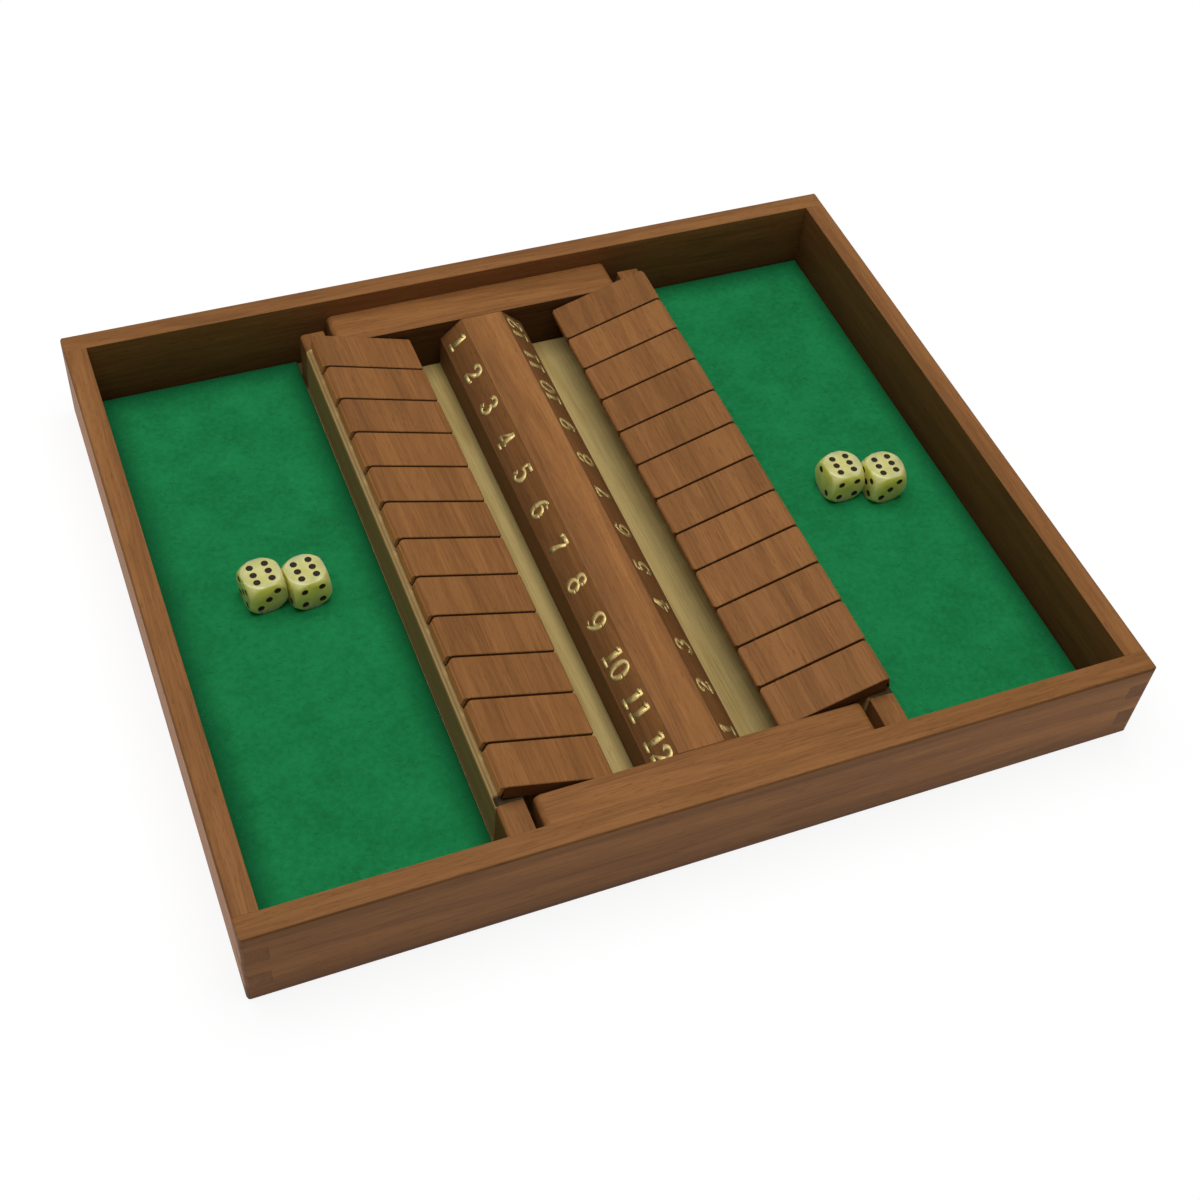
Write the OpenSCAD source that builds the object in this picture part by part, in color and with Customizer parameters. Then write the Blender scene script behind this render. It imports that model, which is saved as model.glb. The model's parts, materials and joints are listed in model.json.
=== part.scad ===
// Two-player shut the box game: a shallow finger-jointed hardwood box with two felt trays,
// a number ridge down the middle and a row of hinged flaps on each side of it.
// Millimetres, +Z up. The origin is on the table under the middle of the box,
// +X to the right along the longer side and +Y to the back.

/* [Box] */
// Outside width of the box, left to right
box_w = 342; // [330:1:360]
// Outside depth of the box, front to back
box_d = 289; // [270:1:310]
// Height of the walls above the table
box_h = 39.5; // [39.5:0.5:48]
// Thickness of the four walls
wall_t = 9; // [7:0.5:10]
// Rounding of the four upright corners
corner_r = 2; // [2:0.25:4]
// Rounding of the walls' outer top and bottom edges
edge_r = 1; // [1:0.25:1.75]
// Fingers in each corner joint, an odd number
finger_n = 5; // [3:2:7]

/* [Base and felt] */
// Thickness of the plywood base
base_t = 4; // [3:0.5:6]
// Height of the base's underside above the table
base_lift = 4; // [3:0.5:6]
// Depth of the groove in the walls that holds the base
groove_d = 4; // [3:0.5:5]
// Play between the base's edge and the bottom of the groove
groove_play = 0.3; // [0.2:0.1:0.8]
// Thickness of the felt mats
felt_t = 2.2; // [1:0.1:3]
// Gap between a mat and the wood around it
felt_gap = 0.5; // [0.2:0.1:1.5]

/* [Middle frame] */
// Distance between the outer faces of the two rails
middle_w = 153.4; // [150:0.2:156]
// Width of each rail
rail_w = 10.2; // [8:0.1:12]
// Height of the rails, end blocks and ridge above the base
middle_h = 23.1; // [22.8:0.1:23.6]
// Rounding of the outer top edge of the rails and posts
rail_r = 2; // [1:0.25:3]
// Thickness of each end block, front to back
block_t = 17.5; // [14:0.5:22]
// Rounding of the end blocks' upper outer edges
block_r = 3; // [2:0.5:6]
// Width of the slot between an end block and the post beside it
slot_w = 3.2; // [1:0.1:4]
// Gap between each back post and the back wall
post_gap = 8; // [0:0.5:10]

/* [Number ridge] */
// Width of the ridge at its foot
ridge_w = 36.6; // [32:0.2:40]
// Width of the flat along the ridge's top
ridge_top_w = 18; // [16:0.5:20]
// Height of each sloping number face
ridge_slope_h = 8.6; // [6:0.2:10]

/* [Flaps] */
// Flaps in each row
flap_n = 12; // [9:1:12]
// Length of a flap from heel to nose
flap_l = 44; // [43:0.5:45]
// Thickness of a flap
flap_t = 6; // [5.5:0.1:6.2]
// Gap between neighbouring flaps
flap_gap = 0.8; // [0.5:0.1:1.5]
// Gap between the row's end flap and the end block
row_end_gap = 1.1; // [0.6:0.1:2]
// Distance from a flap's heel to its hinge rod
heel_l = 8; // [7:0.25:9]
// Rounding of the nose's upper edge
nose_r = 2.5; // [1:0.25:2.75]
// Rounding of the nose's lower edge and of the heel
heel_r = 1.25; // [0.75:0.25:2]

/* [Hinge rods] */
// Diameter of a hinge rod
rod_d = 3; // [2:0.5:3.5]
// Distance of a rod from the middle of the box
rod_x = 40.3; // [39.8:0.1:41]
// Height of a rod above the base
rod_h = 18; // [17.6:0.1:18.4]
// Length of rod held in each end block
rod_hold = 8; // [5:0.5:12]
// Space past a rod's end in its blind hole
hole_end_play = 0.5; // [0.2:0.1:1]
// Radial play between a rod and its holes
rod_play = 0.07; // [0.03:0.01:0.1]
// Space left under a flap at each of its two stops
stop_play = 0.1; // [0.05:0.05:0.2]

/* [Dice] */
// Width of a die across its faces
die_s = 15; // [14:0.5:15.5]
// Diameter of the ball that rounds the corners, as a share of the width
die_round = 1.42; // [1.36:0.01:1.5]
// Diameter of a pip
pip_d = 2.8; // [2:0.1:3]
// Depth of a pip
pip_depth = 0.5; // [0.3:0.1:0.8]

/* [Hidden] */
$fn = 64;
// a cut reaches this far past the face that it starts from
over = 1;

inner_w = box_w - 2 * wall_t;
inner_d = box_d - 2 * wall_t;
floor_z = base_lift + base_t;
middle_top = floor_z + middle_h;
finger_h = box_h / finger_n;

rail_out_x = middle_w / 2;
rail_in_x = rail_out_x - rail_w;
row_half = inner_d / 2 - block_t;
block_half = rail_in_x - slot_w;

rod_z = floor_z + rod_h;
flap_pitch = (2 * row_half - 2 * row_end_gap + flap_gap) / flap_n;
flap_w = flap_pitch - flap_gap;

// the tilt at which a flap's underside comes to rest on an edge that is dx away from the rod
function rest_tilt(dx) =
    let (dz = middle_top - rod_z, reach = norm([dx, dz]))
    atan2(dz, dx) + asin((flap_t / 2 + stop_play) / reach);

open_tilt = rest_tilt(rail_in_x - rod_x);
shut_tilt = rest_tilt(rod_x - ridge_top_w / 2);
flap_travel = 180 - open_tilt - shut_tilt;
echo(open_tilt = open_tilt, flap_travel = flap_travel);

wood = "#7d5230";
dark_wood = "#6a4429";
bare_wood = "#a7926a";
plywood = "#b59b69";
felt_green = "#16733e";
steel = "#b8b8b4";
ivory = "#e0d98c";

// where each die lies: its tray, its place from the tray's middle in die widths, and its turn
dice = [
    ["left", [-0.313, 0.753], 187],
    ["left", [0.76, 0.54], 8.6],
    ["right", [-0.353, -0.273], 1],
    ["right", [0.76, -0.64], 181.5]
];
tray_x = (rail_out_x + inner_w / 2) / 2;
die_lift = 0.05;

// the pips of each face, in steps from its middle, and the steps as shares of the die's width
pips_1 = [[0, 0]];
pips_2 = [[-1, -1], [1, 1]];
pips_3 = concat(pips_1, pips_2);
pips_4 = concat(pips_2, [[-1, 1], [1, -1]]);
pips_5 = concat(pips_1, pips_4);
pips_6 = [for (x = [-1, 1]) for (y = [-1:1]) [x, y]];
pip_step = [0.235, 0.235];
six_step = [0.2, 0.258];

sides = ["left", "right"];
ends = ["front", "back"];
function flap_name(side, k) = str("flap_", side, "_", k < 10 ? "0" : "", k);
function post_name(end, side) = str("post_", end, "_", side);
function die_name(k) = str("die_", k);
function side_sign(side) = side == "left" ? -1 : 1;
function end_sign(end) = end == "front" ? -1 : 1;

// a rectangle centred on the origin with rounded corners
module rounded_rect(w, h, r) {
    square([w - 2 * r, h], center = true);
    square([w, h - 2 * r], center = true);
    for (x = [-1, 1], y = [-1, 1])
        translate([x * (w / 2 - r), y * (h / 2 - r)])
            circle(r);
}

// what a rounding of radius r takes off an upper right corner that has its tip at the origin
module corner_waste(r) {
    difference() {
        translate([-r, -r])
            square(r + over);
        translate([-r, -r])
            circle(r);
    }
}

// the outside of the whole box, a solid block with every edge eased
module box_outside() {
    intersection() {
        linear_extrude(box_h)
            rounded_rect(box_w, box_d, corner_r);
        translate([0, 0, box_h / 2])
            rotate([90, 0, 0])
                linear_extrude(box_d + 2 * over, center = true)
                    rounded_rect(box_w, box_h, edge_r);
        translate([0, 0, box_h / 2])
            rotate([90, 0, 90])
                linear_extrude(box_w + 2 * over, center = true)
                    rounded_rect(box_d, box_h, edge_r);
    }
}

// the base's groove, cut as one plate out of all four walls
module base_groove() {
    translate([0, 0, base_lift + base_t / 2])
        cube([inner_w + 2 * groove_d, inner_d + 2 * groove_d, base_t], center = true);
}

// a wall lying along X, in front or at the back: it has the fingers of the first, third and fifth level
module long_wall(y_sign) {
    y = y_sign * (box_d - wall_t) / 2;
    color(wood)
        difference() {
            intersection() {
                box_outside();
                translate([0, y, box_h / 2])
                    cube([box_w + 2 * over, wall_t, box_h + 2 * over], center = true);
            }
            for (level = [1:2:finger_n - 2], x_sign = [-1, 1])
                translate([x_sign * (inner_w / 2 + wall_t), y, (level + 0.5) * finger_h])
                    cube([2 * wall_t, wall_t + 2 * over, finger_h], center = true);
            base_groove();
        }
}

// a wall lying along Y, on the left or the right: it has the fingers between those
module short_wall(x_sign) {
    x = x_sign * (box_w - wall_t) / 2;
    color(wood)
        difference() {
            intersection() {
                box_outside();
                translate([x, 0, box_h / 2])
                    cube([wall_t, box_d + 2 * over, box_h + 2 * over], center = true);
            }
            for (level = [0:2:finger_n - 1], y_sign = [-1, 1])
                translate([x, y_sign * (inner_d / 2 + wall_t), (level + 0.5) * finger_h])
                    cube([wall_t + 2 * over, 2 * wall_t, finger_h], center = true);
            base_groove();
        }
}

module front_wall() { long_wall(-1); }
module back_wall() { long_wall(1); }
module left_wall() { short_wall(-1); }
module right_wall() { short_wall(1); }

module base_panel() {
    grip = groove_d - groove_play;
    color(plywood)
        translate([0, 0, base_lift + base_t / 2])
            cube([inner_w + 2 * grip, inner_d + 2 * grip, base_t], center = true);
}

// a felt mat that fills one tray
module felt(side) {
    mat_w = inner_w / 2 - rail_out_x - 2 * felt_gap;
    color(felt_green)
        translate([side_sign(side) * (rail_out_x + felt_gap + mat_w / 2), 0, floor_z + felt_t / 2])
            cube([mat_w, inner_d - 2 * felt_gap, felt_t], center = true);
}
module felt_left() { felt("left"); }
module felt_right() { felt("right"); }

// an end block between two posts, with blind holes for the hinge rods
module end_block(end) {
    hole_l = rod_hold + hole_end_play;
    y_sign = end_sign(end);
    color(wood)
        difference() {
            translate([0, y_sign * (row_half + block_t / 2), floor_z])
                rotate([90, 0, 0])
                    linear_extrude(block_t, center = true)
                        difference() {
                            translate([-block_half, 0])
                                square([2 * block_half, middle_h]);
                            translate([block_half, middle_h])
                                corner_waste(block_r);
                            translate([-block_half, middle_h])
                                mirror([1, 0])
                                    corner_waste(block_r);
                        }
            for (x = [-1, 1])
                translate([x * rod_x, y_sign * (row_half + (hole_l - over) / 2), rod_z])
                    rotate([90, 0, 0])
                        cylinder(h = hole_l + over, d = rod_d + 2 * rod_play, center = true);
        }
}
module end_block_front() { end_block("front"); }
module end_block_back() { end_block("back"); }

// the bar between the rows, with a sloping face for the numbers on each side
module number_ridge() {
    foot = ridge_w / 2;
    top = ridge_top_w / 2;
    shoulder_z = middle_h - ridge_slope_h;
    outline = [
        [-foot, 0], [foot, 0],
        [foot, shoulder_z], [top, middle_h],
        [-top, middle_h], [-foot, shoulder_z]
    ];
    color(dark_wood)
        translate([0, 0, floor_z])
            rotate([90, 0, 0])
                linear_extrude(2 * row_half, center = true)
                    polygon(outline);
}

// a bar of the rails' section and length l, lying along Y on one side with its middle at y
module rail_bar(side, y, l) {
    mirror([side == "left" ? 1 : 0, 0, 0])
        translate([rail_in_x, y, floor_z])
            rotate([90, 0, 0])
                linear_extrude(l, center = true)
                    difference() {
                        square([rail_w, middle_h]);
                        translate([rail_w, middle_h])
                            corner_waste(rail_r);
                    }
}

// a rail between two posts: it carries the noses of the open flaps
module rail(side) {
    color(bare_wood)
        rail_bar(side, 0, 2 * row_half);
}
module rail_left() { rail("left"); }
module rail_right() { rail("right"); }

// a post at a rail's end; the front posts reach the wall and the back posts stop short of it
module post(end, side) {
    l = end == "front" ? block_t : block_t - post_gap;
    color(wood)
        rail_bar(side, end_sign(end) * (row_half + l / 2), l);
}

module hinge_rod(side) {
    color(steel)
        translate([side_sign(side) * rod_x, 0, rod_z])
            rotate([90, 0, 0])
                cylinder(h = 2 * (row_half + rod_hold), d = rod_d, center = true);
}
module hinge_rod_left() { hinge_rod("left"); }
module hinge_rod_right() { hinge_rod("right"); }

// a flap's outline seen along the rod, with the rod at the origin and the nose to the right
module flap_outline() {
    nose_x = flap_l - heel_l;
    difference() {
        translate([-heel_l, -flap_t / 2])
            square([flap_l, flap_t]);
        translate([nose_x, flap_t / 2])
            corner_waste(nose_r);
        translate([nose_x, -flap_t / 2])
            mirror([0, 1])
                corner_waste(heel_r);
        translate([-heel_l, flap_t / 2])
            mirror([1, 0])
                corner_waste(heel_r);
        translate([-heel_l, -flap_t / 2])
            rotate(180)
                corner_waste(heel_r);
    }
}

// flap k of a row, counted from the back, resting open on its rail
module flap(side, k) {
    y = row_half - row_end_gap - flap_w / 2 - (k - 1) * flap_pitch;
    color(wood)
        mirror([side == "left" ? 1 : 0, 0, 0])
            translate([rod_x, y, rod_z])
                rotate([0, -open_tilt, 0])
                    difference() {
                        rotate([90, 0, 0])
                            linear_extrude(flap_w, center = true)
                                flap_outline();
                        rotate([90, 0, 0])
                            cylinder(h = flap_w + 2 * over, d = rod_d + 2 * rod_play, center = true);
                    }
}

// one face's pips, sunk into the plane that lies die_s / 2 above the middle
module face_pips(pips, step) {
    ball_d = (pip_d * pip_d / 4 + pip_depth * pip_depth) / pip_depth;
    for (p = pips)
        translate([p[0] * step[0] * die_s, p[1] * step[1] * die_s, die_s / 2 - pip_depth + ball_d / 2])
            sphere(d = ball_d);
}

// a die with six up, one down, four to the front, two on the left
module die(k) {
    lie = dice[k - 1];
    x = side_sign(lie[0]) * tray_x + lie[1][0] * die_s;
    y = lie[1][1] * die_s;
    color(ivory)
        translate([x, y, floor_z + felt_t + die_lift + die_s / 2])
            rotate([0, 0, lie[2]])
                difference() {
                    intersection() {
                        cube(die_s, center = true);
                        sphere(d = die_s * die_round);
                    }
                    face_pips(pips_6, six_step);
                    rotate([180, 0, 0])
                        face_pips(pips_1, pip_step);
                    rotate([90, 0, 0])
                        face_pips(pips_4, pip_step);
                    rotate([-90, 0, 0])
                        face_pips(pips_3, pip_step);
                    rotate([0, -90, 0])
                        face_pips(pips_2, pip_step);
                    rotate([0, 90, 0])
                        face_pips(pips_5, pip_step);
                }
}

front_wall();
back_wall();
left_wall();
right_wall();
base_panel();
felt_left();
felt_right();
end_block_front();
end_block_back();
number_ridge();
rail_left();
rail_right();
hinge_rod_left();
hinge_rod_right();
for (end = ends, side = sides)
    post(end, side);
for (side = sides, k = [1:flap_n])
    flap(side, k);
for (k = [1:len(dice)])
    die(k);
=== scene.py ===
import json
import math
import random

import bmesh
import bpy
from mathutils import Matrix, Quaternion, Vector


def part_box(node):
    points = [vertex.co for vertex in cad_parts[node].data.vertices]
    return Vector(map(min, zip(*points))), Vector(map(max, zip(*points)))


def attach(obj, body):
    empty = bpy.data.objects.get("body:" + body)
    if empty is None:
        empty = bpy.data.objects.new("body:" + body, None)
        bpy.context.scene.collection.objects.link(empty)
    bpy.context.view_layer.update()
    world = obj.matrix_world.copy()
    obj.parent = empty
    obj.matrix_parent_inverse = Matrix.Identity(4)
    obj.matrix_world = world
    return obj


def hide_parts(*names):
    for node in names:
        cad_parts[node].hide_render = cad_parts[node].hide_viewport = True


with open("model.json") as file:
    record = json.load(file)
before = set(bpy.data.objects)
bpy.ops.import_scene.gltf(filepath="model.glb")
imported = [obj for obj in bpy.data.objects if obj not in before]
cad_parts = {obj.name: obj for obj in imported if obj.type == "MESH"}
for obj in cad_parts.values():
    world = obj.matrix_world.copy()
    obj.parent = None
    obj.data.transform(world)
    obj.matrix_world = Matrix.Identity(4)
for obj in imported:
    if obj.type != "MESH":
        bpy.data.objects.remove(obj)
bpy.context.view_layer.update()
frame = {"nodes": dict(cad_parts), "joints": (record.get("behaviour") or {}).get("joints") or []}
nodes = frame["nodes"]
hinges = {joint["child"]: joint for joint in frame["joints"]}
scene = bpy.context.scene
mm = 0.001
sides = {"left": -1, "right": 1}
print("frame loaded:", len(nodes), "nodes")


# where the camera stands and what it looks at, in metres
cameraView = {
    "place": (-0.200118, -0.421562, 0.538125),
    "aim": (-0.00538, -0.03643, 0.020),
    "roll": 6.83,       # degrees, the camera's right side up
    "lens": 53.115,     # mm on a sensor 36 mm wide
}


def makeCamera(view):
    camera = bpy.data.objects.new("studioCamera", bpy.data.cameras.new("studioCamera"))
    scene.collection.objects.link(camera)
    camera.data.sensor_fit = "HORIZONTAL"
    camera.data.sensor_width = 36
    camera.data.lens = view["lens"]
    camera.data.clip_start = 0.01
    look = Vector(view["aim"]) - Vector(view["place"])
    turn = look.to_track_quat("-Z", "Y") @ Quaternion((0, 0, 1), math.radians(view["roll"]))
    camera.location = view["place"]
    camera.rotation_euler = turn.to_euler()
    scene.camera = camera
    scene.view_settings.view_transform = "Standard"


def linear(hexText):
    # an sRGB hex colour as the linear colour that the nodes take
    parts = [int(hexText[i:i + 2], 16) / 255 for i in (1, 3, 5)]
    return tuple(c / 12.92 if c <= 0.04045 else ((c + 0.055) / 1.055) ** 2.4 for c in parts) + (1.0,)


def addNode(tree, kind, inputs=None, stops=None, **settings):
    # one node with its settings, its inputs as values or links, and the stops of its ramp
    node = tree.nodes.new(kind)
    for name, value in settings.items():
        setattr(node, name, value)
    for socket, value in (inputs or {}).items():
        if isinstance(value, bpy.types.NodeSocket):
            tree.links.new(value, node.inputs[socket])
        else:
            node.inputs[socket].default_value = value
    if stops:
        ramp = node.color_ramp
        ramp.elements.remove(ramp.elements[-1])
        ramp.elements[0].position = stops[0][0]
        ramp.elements[0].color = linear(stops[0][1])
        for place, colour in stops[1:]:
            ramp.elements.new(place).color = linear(colour)
    return node


def newMaterial(name):
    material = bpy.data.materials.new(name)
    material.use_nodes = True
    material.node_tree.nodes.clear()
    return material, material.node_tree


studio = {
    "worldFill": 0.12,      # dim light from all round
    "boxSize": 1.5,         # soft box over the table, metres
    "boxPlace": (-0.10, 0.10, 1.5),
    "boxPower": 23,         # watts
    "floorSize": 8,
    "floorGlow": (0.80, 1.0),       # share of plain white that the eye sees near the box and far from it
    "glowReach": (0.35, 1.2),       # metres
    "floorColours": ("#f2f2f2", "#f6f6f6"),
    "whiteGlow": 1.06,      # a little over plain white
}


def seenDirectly(tree):
    # 1 for camera, glossy and transmission rays
    path = addNode(tree, "ShaderNodeLightPath")
    first = addNode(tree, "ShaderNodeMath", {
        0: path.outputs["Is Camera Ray"], 1: path.outputs["Is Glossy Ray"]}, operation="MAXIMUM")
    both = addNode(tree, "ShaderNodeMath", {
        0: first.outputs[0], 1: path.outputs["Is Transmission Ray"]}, operation="MAXIMUM")
    return both.outputs[0]


def makeStudio(setup):
    world = bpy.data.worlds.new("paleStudio")
    world.use_nodes = True
    tree = world.node_tree
    tree.nodes.clear()
    white = (1, 1, 1, 1)
    seen = seenDirectly(tree)
    fill = addNode(tree, "ShaderNodeBackground", {"Color": white, "Strength": setup["worldFill"]})
    backdrop = addNode(tree, "ShaderNodeBackground", {"Color": white, "Strength": 1.0})
    mixed = addNode(tree, "ShaderNodeMixShader", {0: seen, 1: fill.outputs[0], 2: backdrop.outputs[0]})
    addNode(tree, "ShaderNodeOutputWorld", {"Surface": mixed.outputs[0]})
    scene.world = world

    lamp = bpy.data.lights.new("softBox", "AREA")
    lamp.shape = "SQUARE"
    lamp.size = setup["boxSize"]
    lamp.energy = setup["boxPower"]
    softBox = bpy.data.objects.new("softBox", lamp)
    softBox.location = setup["boxPlace"]
    scene.collection.objects.link(softBox)

    # painted board: matt and pale, white to the eye, with the object's faint shadow
    board, tree = newMaterial("paintedBoard")
    place = addNode(tree, "ShaderNodeTexCoord")
    grain = addNode(tree, "ShaderNodeTexNoise", {
        "Vector": place.outputs["Object"], "Scale": 4.0, "Detail": 3.0})
    tint = addNode(tree, "ShaderNodeValToRGB", {0: grain.outputs[0]},
                   stops=[(0.3, setup["floorColours"][0]), (0.7, setup["floorColours"][1])])
    matt = addNode(tree, "ShaderNodeBsdfDiffuse", {"Color": tint.outputs[0]})
    shine = addNode(tree, "ShaderNodeEmission", {"Color": white, "Strength": setup["whiteGlow"]})
    away = addNode(tree, "ShaderNodeVectorMath", {0: place.outputs["Object"]}, operation="LENGTH")
    glow = addNode(tree, "ShaderNodeMapRange", {
        "Value": away.outputs["Value"], "From Min": setup["glowReach"][0], "From Max": setup["glowReach"][1],
        "To Min": setup["floorGlow"][0], "To Max": setup["floorGlow"][1]})
    share = addNode(tree, "ShaderNodeMath", {
        0: seenDirectly(tree), 1: glow.outputs[0]}, operation="MULTIPLY")
    mixed = addNode(tree, "ShaderNodeMixShader", {
        0: share.outputs[0], 1: matt.outputs[0], 2: shine.outputs[0]})
    addNode(tree, "ShaderNodeOutputMaterial", {"Surface": mixed.outputs[0]})
    work = bmesh.new()
    bmesh.ops.create_grid(work, x_segments=1, y_segments=1, size=setup["floorSize"] / 2)
    floor = meshObject("floor", work, board)


def meshObject(name, work, *materials):
    mesh = bpy.data.meshes.new(name)
    work.to_mesh(mesh)
    work.free()
    for material in materials:
        mesh.materials.append(material)
    piece = bpy.data.objects.new(name, mesh)
    scene.collection.objects.link(piece)
    return piece


makeCamera(cameraView)
makeStudio(studio)
print("camera, light and floor made")


# Stained hardwood: sawn, sanded, stained brown and given a thin satin varnish. It gives the eye soft
# figure along the board, fine fibres, short dark pores and darker end grain.
stainedWood = {
    "dark": "#6e4726", "middle": "#82562e", "light": "#936438",
    "pore": "#543318", "endGrain": "#4e3118",
    "figureLength": 120, "figureWidth": 9,      # mm, as the next four are
    "fibreLength": 22, "fibreWidth": 0.7,       # wider than real fibres, which are too fine to show
    "poreLength": 5, "poreWidth": 0.45,         # wider than real pores too
    "rings": 7, "ringShare": 0.07, "endShare": 0.75,
    "poreShare": 0.4, "poreRange": (0.62, 0.70),        # where the noise counts as a pore
    "shine": 0.1, "roughness": (0.45, 0.6),
    "reliefDepth": 0.06, "reliefStrength": 0.6,
}
# Bare plywood: planed and left unfinished, pale khaki with faint fibres.
bareWood = {
    **stainedWood,
    "dark": "#98804c", "middle": "#b0985f", "light": "#bfa970",
    "pore": "#8a7340", "endGrain": "#907a48",
    "figureLength": 150, "figureWidth": 12,
    "fibreLength": 30, "fibreWidth": 0.6,
    "poreLength": 6, "poreWidth": 0.4,
    "rings": 4, "poreShare": 0.25,
    "roughness": (0.62, 0.75), "reliefDepth": 0.04,
}
# Rail softwood: planed along its length and left bare, tanner than the plywood.
railWood = {**bareWood, "dark": "#bc9558", "middle": "#cfa86c", "light": "#dcb87e", "pore": "#a8824a"}


def woodMaterial(name, look):
    material, tree = newMaterial(name)
    place = addNode(tree, "ShaderNodeAttribute", attribute_name="grainPlace")
    # the stain's lightness, with painted light and shade multiplied in
    stain = addNode(tree, "ShaderNodeAttribute", attribute_name="stain")
    endGrain = addNode(tree, "ShaderNodeAttribute", attribute_name="endGrain")

    def alongGrain(length, width, **noise):
        # noise drawn out along the grain, with length and width in mm
        scale = (1 / (length * mm), 1 / (width * mm), 1 / (width * mm))
        mapped = addNode(tree, "ShaderNodeMapping", {"Vector": place.outputs["Vector"], "Scale": scale})
        return addNode(tree, "ShaderNodeTexNoise", {"Vector": mapped.outputs[0], "Scale": 1.0, **noise})

    figure = alongGrain(look["figureLength"], look["figureWidth"], Detail=2.0, Distortion=0.4)
    ringed = addNode(tree, "ShaderNodeMath", {
        0: figure.outputs[0], 1: look["rings"] * 2 * math.pi}, operation="MULTIPLY")
    wave = addNode(tree, "ShaderNodeMath", {0: ringed.outputs[0]}, operation="SINE")
    fibre = alongGrain(look["fibreLength"], look["fibreWidth"], Detail=4.0, Roughness=0.6)
    banded = addNode(tree, "ShaderNodeMath", {
        0: wave.outputs[0], 1: look["ringShare"], 2: figure.outputs[0]}, operation="MULTIPLY_ADD")
    mixedGrain = addNode(tree, "ShaderNodeMix", {0: 0.5, 2: banded.outputs[0], 3: fibre.outputs[0]})
    colour = addNode(tree, "ShaderNodeValToRGB", {0: mixedGrain.outputs[0]},
                     stops=[(0.32, look["dark"]), (0.5, look["middle"]), (0.68, look["light"])])

    pores = alongGrain(look["poreLength"], look["poreWidth"], Detail=1.0)
    poreMask = addNode(tree, "ShaderNodeMapRange", {
        "Value": pores.outputs[0], "From Min": look["poreRange"][0], "From Max": look["poreRange"][1],
        "To Max": look["poreShare"]})
    pored = addNode(tree, "ShaderNodeMix", {
        0: poreMask.outputs[0], 6: colour.outputs[0], 7: linear(look["pore"])}, data_type="RGBA")
    endShare = addNode(tree, "ShaderNodeMath", {
        0: endGrain.outputs["Fac"], 1: look["endShare"]}, operation="MULTIPLY")
    ended = addNode(tree, "ShaderNodeMix", {
        0: endShare.outputs[0], 6: pored.outputs[2], 7: linear(look["endGrain"])}, data_type="RGBA")
    toned = addNode(tree, "ShaderNodeHueSaturation", {
        "Value": stain.outputs["Fac"], "Color": ended.outputs[2]})
    gloss = addNode(tree, "ShaderNodeMapRange", {
        "Value": fibre.outputs[0], "To Min": look["roughness"][0], "To Max": look["roughness"][1]})
    height = addNode(tree, "ShaderNodeMath", {
        0: poreMask.outputs[0], 1: -1.0, 2: fibre.outputs[0]}, operation="MULTIPLY_ADD")
    relief = addNode(tree, "ShaderNodeBump", {
        "Height": height.outputs[0], "Strength": look["reliefStrength"],
        "Distance": look["reliefDepth"] * mm})
    surface = addNode(tree, "ShaderNodeBsdfPrincipled", {
        "Base Color": toned.outputs[0], "Roughness": gloss.outputs[0], "Specular IOR Level": look["shine"],
        "Normal": relief.outputs[0]})
    addNode(tree, "ShaderNodeOutputMaterial", {"Surface": surface.outputs[0]})
    return material


# Wool felt: pressed fibres dyed green. It is dead matt and faintly mottled, and carries painted shade near
# its edges.
feltLook = {"dark": "#146a3b", "middle": "#197a44", "light": "#1e854b", "crushed": "#0f5a31",
            "blotch": 18, "tuft": 2.2, "reliefDepth": 0.35,     # mm
            "fibre": 0.35}      # mm, coarser than real fibres, which are too fine to show


def feltMaterial(look):
    material, tree = newMaterial("woolFelt")
    place = addNode(tree, "ShaderNodeTexCoord")
    blotch, tuft, fibre = [
        addNode(tree, "ShaderNodeTexNoise", {"Vector": place.outputs["Object"],
                                             "Scale": 1 / (look[clump] * mm), "Detail": detail})
        for clump, detail in (("blotch", 3.0), ("tuft", 4.0), ("fibre", 2.0))]
    coarse = addNode(tree, "ShaderNodeMix", {0: 0.5, 2: blotch.outputs[0], 3: tuft.outputs[0]})
    mottled = addNode(tree, "ShaderNodeMix", {0: 0.3, 2: coarse.outputs[0], 3: fibre.outputs[0]})
    colour = addNode(tree, "ShaderNodeValToRGB", {0: mottled.outputs[0]},
                     stops=[(0.36, look["dark"]), (0.5, look["middle"]), (0.64, look["light"])])
    # painted shade near the mat's edges, as strong as the rim attribute says
    rim = addNode(tree, "ShaderNodeAttribute", attribute_name="rim")
    rimShaded = addNode(tree, "ShaderNodeMix", {
        0: rim.outputs["Fac"], 6: colour.outputs[0], 7: linear(look["crushed"])}, data_type="RGBA")
    nap = addNode(tree, "ShaderNodeMath", {
        0: fibre.outputs[0], 1: 0.4, 2: tuft.outputs[0]}, operation="MULTIPLY_ADD")
    relief = addNode(tree, "ShaderNodeBump", {
        "Height": nap.outputs[0], "Strength": 0.7, "Distance": look["reliefDepth"] * mm})
    surface = addNode(tree, "ShaderNodeBsdfPrincipled", {
        "Base Color": rimShaded.outputs[2], "Roughness": 1.0, "Normal": relief.outputs[0],
        "Specular IOR Level": 0.1, "Sheen Weight": 0.12, "Sheen Roughness": 0.5,
        "Sheen Tint": linear("#3ea86a")})
    addNode(tree, "ShaderNodeOutputMaterial", {"Surface": surface.outputs[0]})
    return material


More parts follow.
